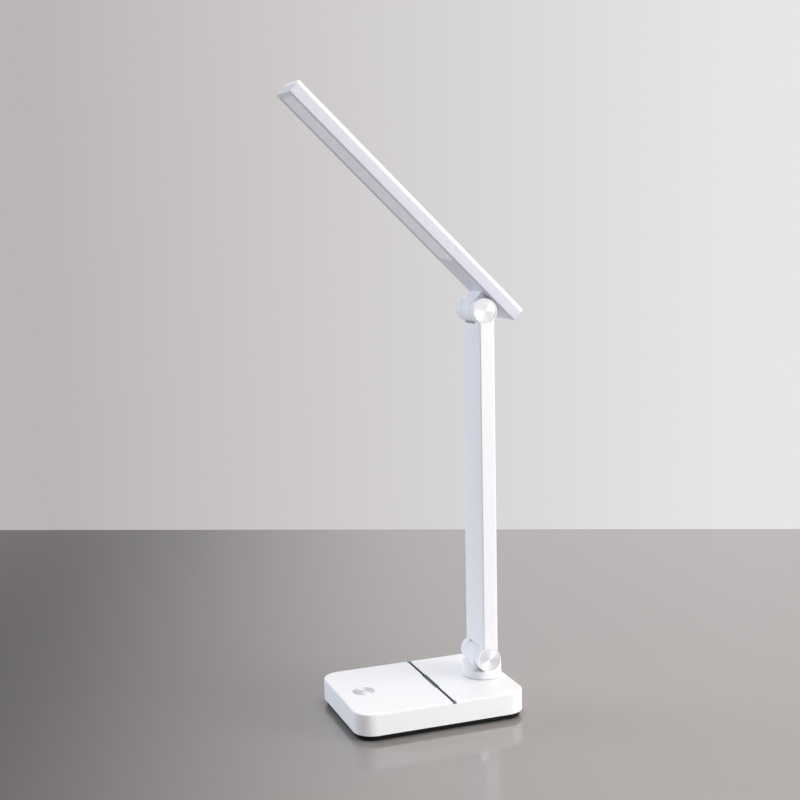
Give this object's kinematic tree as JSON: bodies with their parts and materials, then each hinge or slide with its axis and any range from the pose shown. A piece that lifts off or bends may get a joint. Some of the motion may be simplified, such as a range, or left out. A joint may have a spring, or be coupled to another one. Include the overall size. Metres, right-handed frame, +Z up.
{
  "type": "folding desk lamp",
  "caption": "Desk lamp with a flat rounded base, a slim arm hinged at each end and a long flat head. The post swivels, the hinges fold and a round button presses.",
  "frame": {"origin": "middle of the anti-slip pad's lower face, on the table under the middle of the base", "axes": "+Z up; +X along the base, from the button towards the hinge post; +Y across the base, towards the side of the charging socket; the head points to -X"},
  "size_m": [0.1783, 0.1, 0.4775],
  "materials": {
    "white_shell": "gloss",
    "pearl_shell": "gloss",
    "black_plate": "satin",
    "pad_rubber": "matte",
    "groove_rubber": "matte",
    "steel": "satin",
    "spun_aluminium": "satin",
    "foam": "matte",
    "battery_wrap": "satin",
    "circuit_board": "satin",
    "switch_black": "matte",
    "nylon": "satin",
    "fibre": "matte",
    "wire_cover": "satin",
    "diffuser_acrylic": "satin",
    "led_board_metal": "satin",
    "led_phosphor": "matte"
  },
  "bodies": {
    "base": {"base_shell": "white_shell", "base_plate": "black_plate", "anti_slip_pad": "pad_rubber", "base_screws": "steel", "ballast_plate": "steel", "battery_foam": "foam", "battery": "battery_wrap", "control_board": "circuit_board", "board_screws": "steel", "switch_body": "switch_black", "button_ring": "spun_aluminium", "groove_liner": "groove_rubber", "charging_socket": "steel", "socket_board": "circuit_board", "slide_washer": "nylon"},
    "button": {"button_cap": "spun_aluminium", "switch_plunger": "switch_black"},
    "turntable": {"turntable": "white_shell", "stop_washer": "steel", "spindle_nut": "steel"},
    "arm": {"arm_frame": "white_shell", "arm_back_cover": "white_shell", "arm_wire": "wire_cover", "lower_hinge_pin": "steel", "lower_hinge_nut": "steel", "lower_friction_washers": "fibre", "lower_hinge_caps": "spun_aluminium", "upper_hinge_pin": "steel", "upper_hinge_nut": "steel", "upper_friction_washers": "fibre", "upper_hinge_caps": "spun_aluminium"},
    "head": {"head_bracket": "white_shell", "bracket_clamp": "steel", "bracket_screws": "steel", "head_frame": "pearl_shell", "head_cover": "white_shell", "diffuser": "diffuser_acrylic", "led_board": "led_board_metal", "leds": "led_phosphor", "head_wire": "wire_cover"}
  },
  "joints": [
    {"name": "swivel", "type": "hinge", "parent": "base", "child": "turntable", "pos_m": [0.0514, 0, 0.0213], "axis": [0, 0, 1], "range_deg": [-90, 90]},
    {"name": "lower_fold", "type": "hinge", "parent": "turntable", "child": "arm", "pos_m": [0.0504, 0, 0.0375], "axis": [0, 1, 0], "range_deg": [-83, 30]},
    {"name": "upper_fold", "type": "hinge", "parent": "arm", "child": "head", "pos_m": [0.0504, 0, 0.3095], "axis": [0, 1, 0], "range_deg": [-134.6, 45.4]},
    {"name": "button_press", "type": "slide", "parent": "base", "child": "button", "axis": [0, 0, -1], "range_m": [0, 0.0006], "stiffness_N_per_m": 1500, "springref_m": -0.0004}
  ]
}
